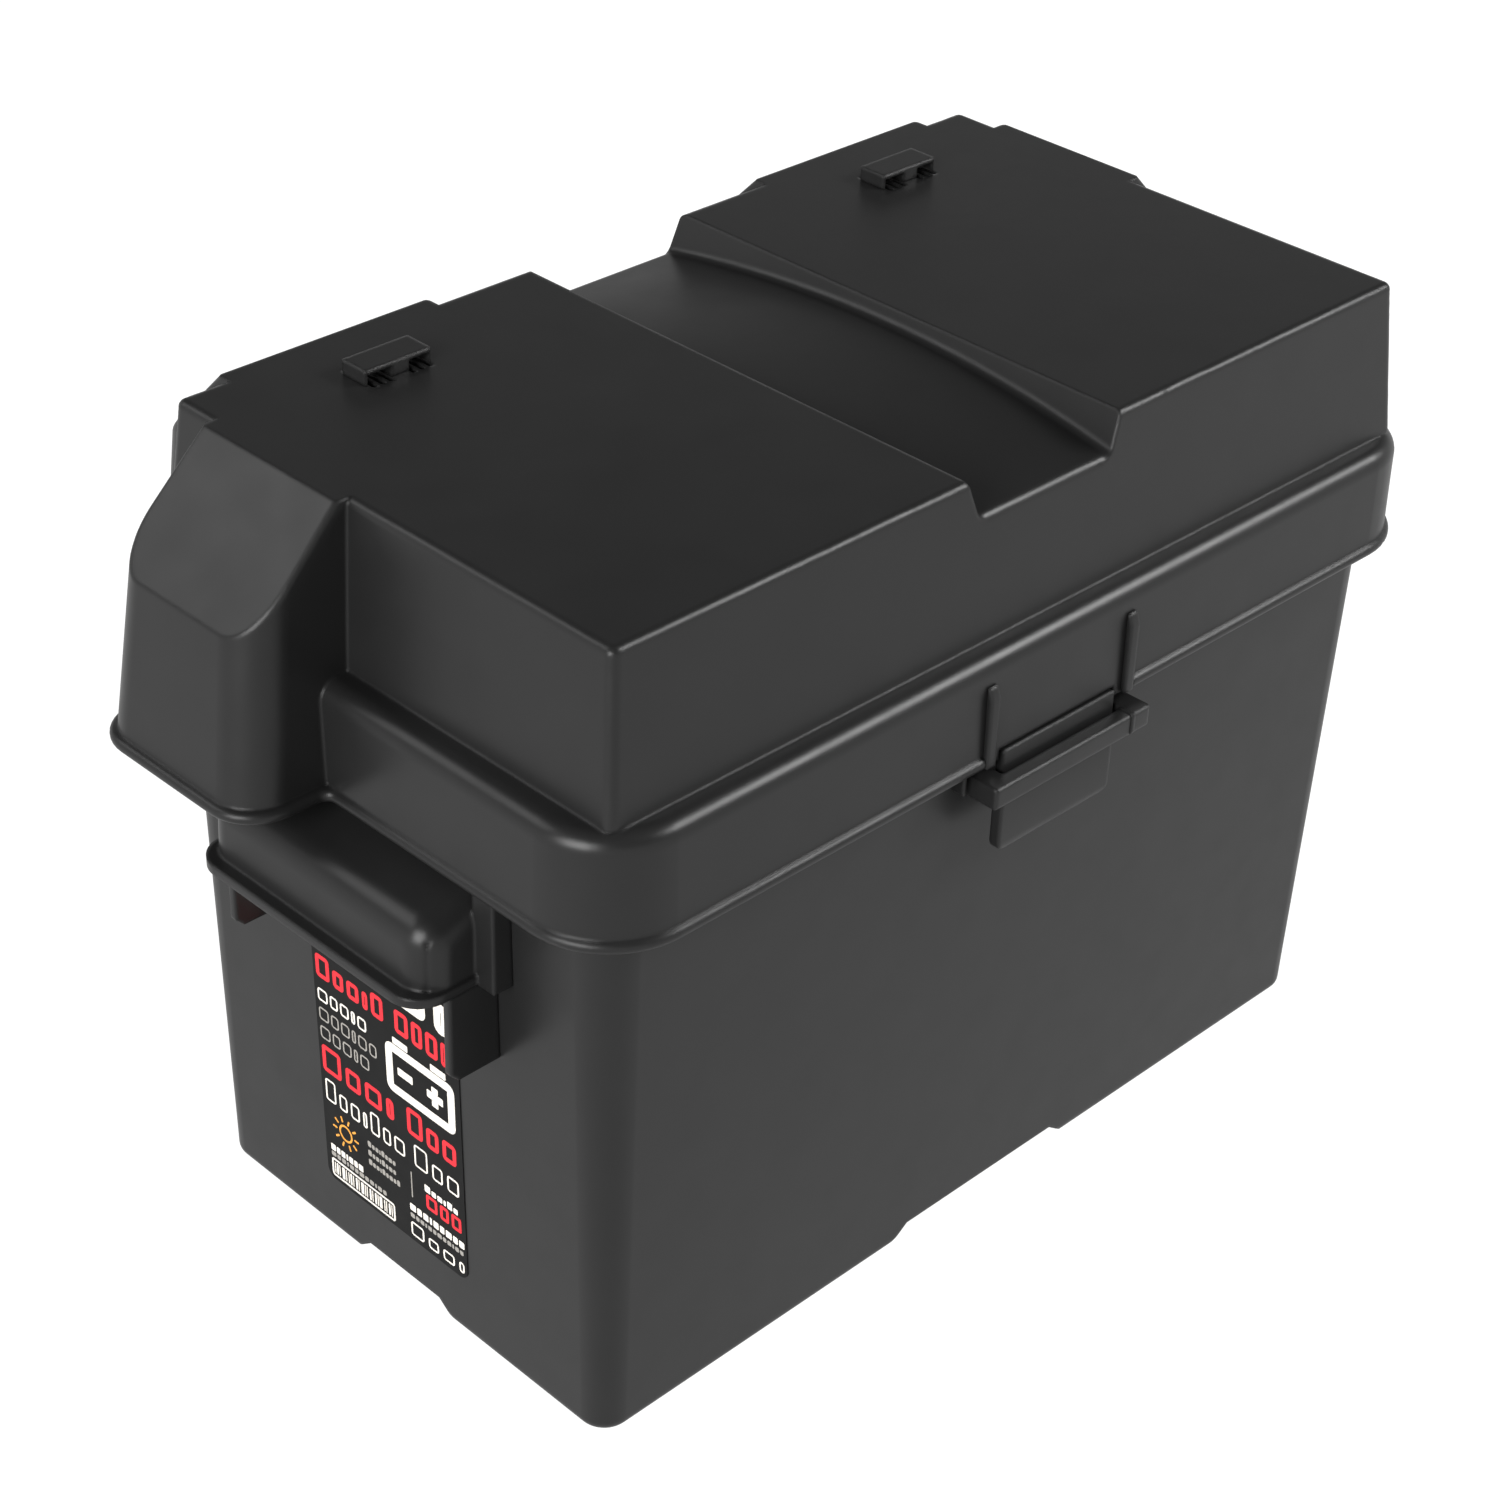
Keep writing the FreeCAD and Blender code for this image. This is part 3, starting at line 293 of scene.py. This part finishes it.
def on_label(flat, lift):
    """Places label coordinates in millimetres on the tub's left wall, lifted off the film's face.

    The first coordinate runs from the film's far edge towards its near edge, the second from its
    foot upwards. The wall leans out by the draft, so its X is a straight line in height, taken from
    the film's own lowest and highest corners.
    """
    low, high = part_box("label")
    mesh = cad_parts["label"].data
    points = np.zeros(len(mesh.vertices) * 3)
    mesh.vertices.foreach_get("co", points)
    points = points.reshape(-1, 3)
    foot = points[points[:, 2] < low.z + 1e-5, 0].min()
    head = points[points[:, 2] > high.z - 1e-5, 0].min()
    y = high.y - flat[..., 0] * MM
    z = low.z + flat[..., 1] * MM
    x = foot + (head - foot) * (z - low.z) / (high.z - low.z) - lift
    return np.stack([x, y, z], -1)


def printed(name, bars, rings, material, lift):
    """Thin closed prints of one ink: filled outlines, and rings between two outlines each.

    Every outline is set twice, once just inside the film and once lifted off it. Filled outlines are
    capped by one face each side and walled by quads; rings are quads all round.
    """
    points, faces = [], []
    start = 0
    if len(bars):
        count, size = bars.shape[:2]
        inner, outer = on_label(bars, -PRINT_SEAT), on_label(bars, lift)
        points.append(np.concatenate([inner, outer], 1).reshape(-1, 3))
        base = (np.arange(count) * 2 * size)[:, None]
        ring = np.arange(size)[None, :]
        following = (ring + 1) % size
        faces += (base + ring).tolist() + (base + size + ring).tolist()
        walls = np.stack([base + ring, base + following,
                          base + size + following, base + size + ring], -1)
        faces += walls.reshape(-1, 4).tolist()
        start = count * 2 * size
    if len(rings):
        pair = np.asarray(rings)
        count, size = pair.shape[0], pair.shape[2]
        layers = np.stack([on_label(pair[:, 0], -PRINT_SEAT), on_label(pair[:, 0], lift),
                           on_label(pair[:, 1], lift), on_label(pair[:, 1], -PRINT_SEAT)], 1)
        points.append(layers.reshape(-1, 3))
        base = (np.arange(count) * 4 * size)[:, None, None] + start
        layer = (np.arange(4) * size)[None, :, None]
        after = ((np.arange(4) + 1) % 4 * size)[None, :, None]
        ring = np.arange(size)[None, None, :]
        following = (ring + 1) % size
        quads = np.stack([base + layer + ring, base + layer + following,
                          base + after + following, base + after + ring], -1)
        faces += quads.reshape(-1, 4).tolist()
    return new_piece(name, np.concatenate(points).tolist(), faces, material)


def word(start, stop, foot, tall, low, count, gap=0.28):
    """Limits of a row of blocks that stand for a word, the first and every fourth one taller."""
    widths = np.resize([1.15, 0.9, 1.0, 0.45, 1.0, 0.85], count)
    pitch = (stop - start) / (widths.sum() + gap * (count - 1))
    left = start + pitch * (np.cumsum(widths) - widths + gap * np.arange(count))
    top = foot + np.where(np.arange(count) % 4 == 0, tall, low)
    return np.stack([left, left + pitch * widths, np.full(count, foot), top], -1)


def hollow(limits, radius, stroke):
    """Pairs of outlines, each rectangle and the same one a stroke further in, for ring prints.

    A rectangle too narrow for two strokes keeps a slit down its middle.
    """
    slit = 0.3
    limits = np.asarray(limits, float)
    inner = limits + np.array([stroke, -stroke, stroke, -stroke])
    thin = inner[:, 1] - inner[:, 0] < slit
    inner[thin, 0] = limits[thin, :2].mean(1) - slit / 2
    inner[thin, 1] = limits[thin, :2].mean(1) + slit / 2
    inner_radius = max(radius - stroke, slit / 2)
    return np.stack([rounded_bars(limits, radius), rounded_bars(inner, inner_radius)], 1)


def stripes(start, stop, low, high, count):
    """Limits of upright stripes of mixed widths with mixed gaps, as on a stock ticket."""
    widths = np.resize([0.5, 0.9, 0.5, 1.4, 0.5, 0.5, 0.9], count)
    gaps = np.resize([0.5, 0.5, 1.0, 0.5, 0.9], count)
    pitch = (stop - start) / (widths.sum() + gaps[:-1].sum())
    left = start + pitch * (np.cumsum(widths) - widths + np.cumsum(gaps) - gaps)
    return np.stack([left, left + pitch * widths, np.full(count, low), np.full(count, high)], -1)


# ---------------------------------------------------------------- properties

def colour_property(name, description, code):
    """A colour with an sRGB default."""
    return FloatVectorProperty(name=name, description=description, subtype="COLOR", size=3,
                               min=0.0, max=1.0, default=linear(code))


def length_property(name, description, millimetres):
    """A length in metres with its default in millimetres."""
    return FloatProperty(name=name, description=description, unit="LENGTH", min=0.0, precision=6,
                         default=millimetres * MM)


class BatteryBoxFinish(bpy.types.PropertyGroup):
    """Colours and surface sizes of the plastic and the label."""

    plastic_colour: colour_property("Plastic", "Colour of the moulded polypropylene", "#1F1F1F")
    plastic_roughness: FloatProperty(name="Plastic roughness",
                                     description="Mean roughness of the plastic", subtype="FACTOR",
                                     min=0.05, max=0.95, default=0.33)
    grain_size: length_property("Grain size", "Size of the mould's texture", 0.35)
    grain_depth: length_property("Grain depth", "Depth of the mould's texture", 0.006)
    edge_radius: length_property("Edge radius", "Radius seen on the plastic's small edges", 1.8)
    film_colour: colour_property("Film", "Colour of the label film", "#161616")
    ivory_ink: colour_property("Ivory ink", "Colour of the light print", "#F6F0E6")
    red_ink: colour_property("Red ink", "Colour of the red print", "#E8323C")
    orange_ink: colour_property("Orange ink", "Colour of the orange print", "#EBA446")
    grey_ink: colour_property("Grey ink", "Colour of the small grey print", "#A09C96")


class BatteryBoxSizes(bpy.types.PropertyGroup):
    """Sizes of the small details."""

    small_edge: length_property("Small edge", "Edge radius of the thin ribs and bars", 0.35)
    tongue_edge: length_property("Tongue edge", "Edge radius of the latch tongues", 0.5)
    cap_edge: length_property("Cap edge", "Edge radius of the vent caps", 0.25)
    divider_width: length_property("Divider width", "Width of the rib across each catch bar", 1.6)
    divider_height: length_property("Divider height", "Height of that rib above the bar", 0.5)
    ink_thickness: length_property("Ink thickness", "Height of the print above the film", 0.05)


class BatteryBoxStage(bpy.types.PropertyGroup):
    """Floor, light and camera."""

    floor_tone: FloatProperty(name="Floor tone", description="Reflectance of the floor",
                              subtype="FACTOR", min=0.0, max=1.0, default=0.15)
    floor_glow: FloatProperty(name="Floor glow", description="Light given off by the floor",
                              min=0.0, default=1.0)
    floor_shine: FloatProperty(name="Floor shine", description="Light that the floor casts on the part",
                               min=0.0, default=0.62)
    ceiling: FloatProperty(name="Ceiling", description="Brightness of the room above",
                           min=0.0, default=0.11)
    horizon: FloatProperty(name="Horizon", description="Brightness of the walls far off",
                           min=0.0, default=0.85)
    left_light: FloatProperty(name="Left light", description="Power of the softbox at the far left",
                              subtype="POWER", min=0.0, default=10.0)
    right_light: FloatProperty(name="Right light", description="Power of the softbox at the near right",
                               subtype="POWER", min=0.0, default=38.0)
    key_light: FloatProperty(name="Key light", description="Power of the softbox low at the left",
                             subtype="POWER", min=0.0, default=90.0)
    lens: FloatProperty(name="Lens", description="Focal length", min=10.0, default=75.5)
    floor_points: IntProperty(name="Floor points", description="Points round the floor's rim",
                              min=8, default=64)


# ---------------------------------------------------------------- operators

class BATTERYBOX_OT_shell(bpy.types.Operator):
    """Give the tub, the lid and the two handles their moulded finish"""

    bl_idname = "battery_box.shell"
    bl_label = "Finish Tub, Lid and Handles"

    def execute(self, context):
        for node in ("tub", "lid", "left_handle", "right_handle"):
            dress_node(node, plastic(context))
        return {"FINISHED"}


class BATTERYBOX_OT_ribs(bpy.types.Operator):
    """Round the edges of the gussets under the handles and of the locating ribs"""

    bl_idname = "battery_box.ribs"
    bl_label = "Round Gussets and Locating Ribs"

    def execute(self, context):
        radius = context.scene.battery_box_sizes.small_edge
        nodes = ["%s_handle_%s_gusset" % (side, end) for side in ("left", "right")
                 for end in ("front", "rear")]
        for node in nodes + ["front_locating_rib", "rear_locating_rib"]:
            softened(node, node + "_rounded", "tub", plastic(context), radius)
        return {"FINISHED"}


class BATTERYBOX_OT_latches(bpy.types.Operator):
    """Round the latch tongues, their ribs and the catch bars, and set the rib across each bar"""

    bl_idname = "battery_box.latches"
    bl_label = "Round Latches and Catch Bars"

    def execute(self, context):
        sizes = context.scene.battery_box_sizes
        for side, outward in (("front", -1), ("rear", 1)):
            softened(side + "_latch_tongue", side + "_latch_tongue_rounded", side + "_latch",
                     plastic(context), sizes.tongue_edge)
            softened(side + "_catch_bar", side + "_catch_bar_rounded", "tub",
                     plastic(context), sizes.small_edge)
            for hand in ("left", "right"):
                node = "%s_latch_%s_rib" % (side, hand)
                softened(node, node + "_rounded", "lid", plastic(context), 2 * sizes.small_edge)
            self.divider(side, outward, sizes, plastic(context))
        return {"FINISHED"}

    def divider(self, side, outward, sizes, material):
        """A narrow rib round the bar's face near one end.

        Its section is the bar's own section grown by the rib's height with round corners, and it is
        that section set at the rib's two sides and joined.
        """
        low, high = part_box(side + "_catch_bar")
        face = low.y if outward < 0 else high.y
        back = face - outward * 5.0 * MM
        centre = 27.3 * MM
        grow = sizes.divider_height
        limits = [min(face + outward * grow, back), max(face + outward * grow, back),
                  low.z + 0.4 * MM, high.z + grow]
        section = rounded_bars([limits], 0.9 * MM)[0]
        middle = -outward * centre
        sides = middle + np.array([-0.5, 0.5])[:, None] * sizes.divider_width
        count = len(section)
        across = np.broadcast_to(sides, (2, count))
        outline = np.broadcast_to(section, (2, count, 2))
        points = np.concatenate([across[..., None], outline], -1).reshape(-1, 3)
        ring = np.arange(count)
        following = (ring + 1) % count
        faces = [ring.tolist(), (ring + count).tolist()]
        faces += np.stack([ring, following, following + count, ring + count], -1).tolist()
        piece = new_piece(side + "_catch_bar_divider", points.tolist(), faces, material)
        bevel = piece.modifiers.new("edge_radius", "BEVEL")
        bevel.width = 0.2 * MM
        bevel.segments = 2
        bevel.limit_method = "ANGLE"


class BATTERYBOX_OT_vents(bpy.types.Operator):
    """Round the two vent caps on the lid"""

    bl_idname = "battery_box.vents"
    bl_label = "Round Vent Caps"

    def execute(self, context):
        for side in ("left", "right"):
            softened(side + "_vent_cap", side + "_vent_cap_rounded", "lid", plastic(context),
                     context.scene.battery_box_sizes.cap_edge)
        return {"FINISHED"}


class BATTERYBOX_OT_label(bpy.types.Operator):
    """Finish the label film and print its plain blocks, battery sign and sun sign"""

    bl_idname = "battery_box.label"
    bl_label = "Print the Label"

    def execute(self, context):
        finish = context.scene.battery_box_finish
        lift = context.scene.battery_box_sizes.ink_thickness
        dress_node("label", matte_label_film(finish))
        ivory = screen_ink("screen_ink_ivory", finish.ivory_ink)
        red = screen_ink("screen_ink_red", finish.red_ink)
        orange = screen_ink("screen_ink_orange", finish.orange_ink)
        grey = screen_ink("screen_ink_grey", finish.grey_ink)
        self.headings(red, lift)
        self.light_print(ivory, lift)
        self.small_print(grey, lift)
        self.sun(orange, lift)
        return {"FINISHED"}

    def headings(self, ink, lift):
        """Three lines of bold hollow blocks in red, placed in millimetres on the film."""
        upper = [word(1.5, 34.5, 83.6, 9.2, 7.0, 5), word(40.0, 64.5, 83.6, 9.2, 9.2, 4)]
        lower = [word(1.5, 37.0, 45.4, 10.8, 8.2, 4), word(43.5, 67.0, 45.4, 10.8, 8.2, 3)]
        origin = word(51.0, 68.0, 18.8, 6.0, 6.0, 3)
        rings = np.concatenate([hollow(np.concatenate(upper + lower), 1.6, 1.75),
                                hollow(origin, 1.0, 1.3)])
        printed("label_print_red", [], rings, ink, lift)

    def light_print(self, ink, lift):
        """The battery sign, the thin lines of blocks and the stock ticket in ivory."""
        top = hollow(word(2.0, 66.0, 95.4, 12.0, 12.0, 4), 3.0, 3.4)
        lines = [word(1.5, 25.5, 74.0, 5.0, 5.0, 5), word(2.0, 41.5, 33.4, 9.0, 6.4, 7, 0.4),
                 word(46.2, 67.6, 33.4, 9.0, 6.4, 3, 0.4), word(42.6, 68.6, 2.2, 5.8, 4.4, 4, 0.4)]
        thin = hollow(np.concatenate(lines), 1.2, 0.72)
        case = hollow([[34.6, 67.4, 58.2, 77.8]], 3.0, 3.3)
        edge = hollow([[2.4, 34.6, 1.6, 9.2]], 1.2, 0.8)
        small = [word(50.5, 66.5, 25.6, 2.9, 2.2, 6), word(2.6, 19.0, 12.6, 2.6, 2.6, 7),
                 word(42.6, 69.0, 12.8, 2.8, 2.8, 9)]
        terminals = [[38.4, 45.6, 78.2, 80.8], [56.4, 63.6, 78.2, 80.8]]
        signs = [[40.2, 47.4, 66.6, 69.6], [54.2, 61.8, 66.6, 69.6],
                 [56.5, 59.5, 69.7, 72.0], [56.5, 59.5, 64.2, 66.5]]
        ticket = stripes(3.8, 33.2, 3.0, 7.8, 22)
        bars = np.concatenate([*small, terminals, signs, ticket])
        printed("label_print_ivory", rounded_bars(bars, 0.4), np.concatenate([top, thin, case, edge]),
                ink, lift)

    def small_print(self, ink, lift):
        """Second languages, the rule and the fine lines in grey."""
        names = [word(1.5, 30.0, 66.3, 5.0, 5.0, 6), word(1.5, 25.8, 58.8, 5.0, 5.0, 5)]
        lines = [word(22.4, 36.2, 26.4, 2.3, 1.8, 8), word(22.4, 36.2, 22.6, 2.3, 1.8, 8),
                 word(22.4, 38.0, 18.8, 2.3, 1.8, 9), word(2.6, 30.6, 10.2, 1.8, 1.8, 12),
                 word(42.6, 68.4, 9.8, 1.8, 1.8, 12)]
        bars = np.concatenate([*lines, [[43.8, 44.3, 18.6, 29.4]]])
        printed("label_print_grey", rounded_bars(bars, 0.5), hollow(np.concatenate(names), 1.2, 0.6),
                ink, lift)

    def sun(self, ink, lift):
        """A ring with ten rays in orange, the plain sign for daylight proofing."""
        middle = np.array([11.0, 24.0])
        ring = [rounded_bars([[middle[0] - r, middle[0] + r, middle[1] - r, middle[1] + r]], r, 8)[0]
                for r in (3.4, 2.6)]
        angles = np.arange(10) * math.pi / 5
        ray = np.array([middle[0] + 4.3, middle[0] + 6.6, middle[1] - 0.4, middle[1] + 0.4])
        rays = turned(rounded_bars(np.tile(ray, (10, 1)), 0.4), middle, angles)
        printed("label_print_orange", rays, [ring], ink, lift)


class BATTERYBOX_OT_stage(bpy.types.Operator):
    """Set the pale floor, the soft lights and the camera"""

    bl_idname = "battery_box.stage"
    bl_label = "Set the Stage"

    def execute(self, context):
        stage = context.scene.battery_box_stage
        self.floor(stage)
        self.room(context, stage)
        self.softbox("left_softbox", LEFT_SOFTBOX, stage.left_light, distance=2.2, width=1.4, height=0.9)
        self.softbox("right_softbox", RIGHT_SOFTBOX, stage.right_light, distance=2.2, width=1.2, height=0.6)
        self.softbox("key_softbox", KEY_SOFTBOX, stage.key_light, distance=3.0, width=1.6, height=1.6)
        self.camera(context, stage)
        context.scene.view_settings.view_transform = "Standard"
        return {"FINISHED"}

    def floor(self, stage):
        """A round disc, its rim points evenly spaced on one circle."""
        reach = 15
        turn = np.arange(stage.floor_points) * 2 * math.pi / stage.floor_points
        rim = np.stack([reach * np.cos(turn), reach * np.sin(turn), np.zeros_like(turn)], -1)
        mesh = bpy.data.meshes.new("pale_floor")
        mesh.from_pydata(rim.tolist(), [], [list(range(stage.floor_points))])
        mesh.materials.append(pale_floor(stage))
        disc = bpy.data.objects.new("pale_floor", mesh)
        bpy.context.scene.collection.objects.link(disc)

    def room(self, context, stage):
        """Dim above and brighter far off for the light, and plain white where the view meets it."""
        world = bpy.data.worlds.new("studio_room")
        world.use_nodes = True
        tree = world.node_tree
        tree.nodes.clear()
        output = add_node(tree, "ShaderNodeOutputWorld", (600, 0))
        mix = add_node(tree, "ShaderNodeMixShader", (400, 0))
        path = add_node(tree, "ShaderNodeLightPath", (0, 300))
        where = add_node(tree, "ShaderNodeTexCoord", (-800, 0))
        split = add_node(tree, "ShaderNodeSeparateXYZ", (-600, 0))
        fade = add_node(tree, "ShaderNodeMapRange", (-300, 0), {
            "From Min": 0.05, "From Max": 0.40, "To Min": stage.horizon, "To Max": stage.ceiling})
        dim = add_node(tree, "ShaderNodeBackground", (0, 0))
        white = add_node(tree, "ShaderNodeBackground", (0, -200), {"Strength": 1.0})
        for background in (dim, white):
            background.inputs["Color"].default_value = (1.0, 1.0, 1.0, 1.0)
        tree.links.new(where.outputs["Generated"], split.inputs["Vector"])
        tree.links.new(split.outputs["Z"], fade.inputs["Value"])
        tree.links.new(fade.outputs["Result"], dim.inputs["Strength"])
        tree.links.new(path.outputs["Is Camera Ray"], mix.inputs["Fac"])
        tree.links.new(dim.outputs["Background"], mix.inputs[1])
        tree.links.new(white.outputs["Background"], mix.inputs[2])
        tree.links.new(mix.outputs["Shader"], output.inputs["Surface"])
        context.scene.world = world

    def softbox(self, name, direction, power, distance, width, height):
        """A rectangular soft light that looks at the middle of the part."""
        light = bpy.data.lights.new(name, "AREA")
        light.shape = "RECTANGLE"
        light.size, light.size_y = width, height
        light.energy = power
        lamp = bpy.data.objects.new(name, light)
        away = Vector(direction)
        lamp.location = away.normalized() * distance + PART_MIDDLE
        lamp.rotation_mode = "QUATERNION"
        lamp.rotation_quaternion = away.to_track_quat("Z", "Y")
        bpy.context.scene.collection.objects.link(lamp)

    def camera(self, context, stage):
        """Looks down on the front left corner, with a slight roll."""
        turn, rise, roll = [math.radians(angle) for angle in CAMERA_ANGLES]
        right = Vector((math.cos(turn), math.sin(turn), 0))
        back = Vector((math.sin(turn) * math.cos(rise), -math.cos(turn) * math.cos(rise),
                       math.sin(rise)))
        up = back.cross(right)
        level, upright = right, up
        right = level * math.cos(roll) + upright * math.sin(roll)
        up = upright * math.cos(roll) - level * math.sin(roll)
        data = bpy.data.cameras.new("camera")
        data.lens = stage.lens
        data.sensor_width = 36
        data.clip_start, data.clip_end = 0.01, 100
        camera = bpy.data.objects.new("camera", data)
        turned_to = Matrix((right, up, back)).transposed().to_4x4()
        camera.matrix_world = Matrix.Translation(CAMERA_PLACE) @ turned_to
        bpy.context.scene.collection.objects.link(camera)
        context.scene.camera = camera


class BATTERYBOX_PT_panel(bpy.types.Panel):
    """The sidebar's list of settings and steps"""

    bl_idname = "BATTERYBOX_PT_panel"
    bl_label = "Battery Box"
    bl_space_type = "VIEW_3D"
    bl_region_type = "UI"
    bl_category = "Battery Box"

    def draw(self, context):
        for name in ("battery_box_finish", "battery_box_sizes", "battery_box_stage"):
            group = getattr(context.scene, name)
            box = self.layout.box()
            for key in group.bl_rna.properties.keys():
                if key not in ("rna_type", "name"):
                    box.prop(group, key)
        for step in STEPS:
            self.layout.operator(step.bl_idname)


# ---------------------------------------------------------------- registration

GROUPS = {
    "battery_box_finish": BatteryBoxFinish,
    "battery_box_sizes": BatteryBoxSizes,
    "battery_box_stage": BatteryBoxStage,
}
STEPS = [BATTERYBOX_OT_shell, BATTERYBOX_OT_ribs, BATTERYBOX_OT_latches, BATTERYBOX_OT_vents,
         BATTERYBOX_OT_label, BATTERYBOX_OT_stage]


def register():
    for made in [*GROUPS.values(), *STEPS, BATTERYBOX_PT_panel]:
        bpy.utils.register_class(made)
    for name, group in GROUPS.items():
        setattr(bpy.types.Scene, name, PointerProperty(type=group))


def unregister():
    for name in GROUPS:
        delattr(bpy.types.Scene, name)
    for made in reversed([*GROUPS.values(), *STEPS, BATTERYBOX_PT_panel]):
        bpy.utils.unregister_class(made)


def main():
    register()
    bpy.ops.battery_box.shell()
    bpy.ops.battery_box.ribs()
    bpy.ops.battery_box.latches()
    bpy.ops.battery_box.vents()
    bpy.ops.battery_box.label()
    bpy.ops.battery_box.stage()


if __name__ == "__main__":
    main()
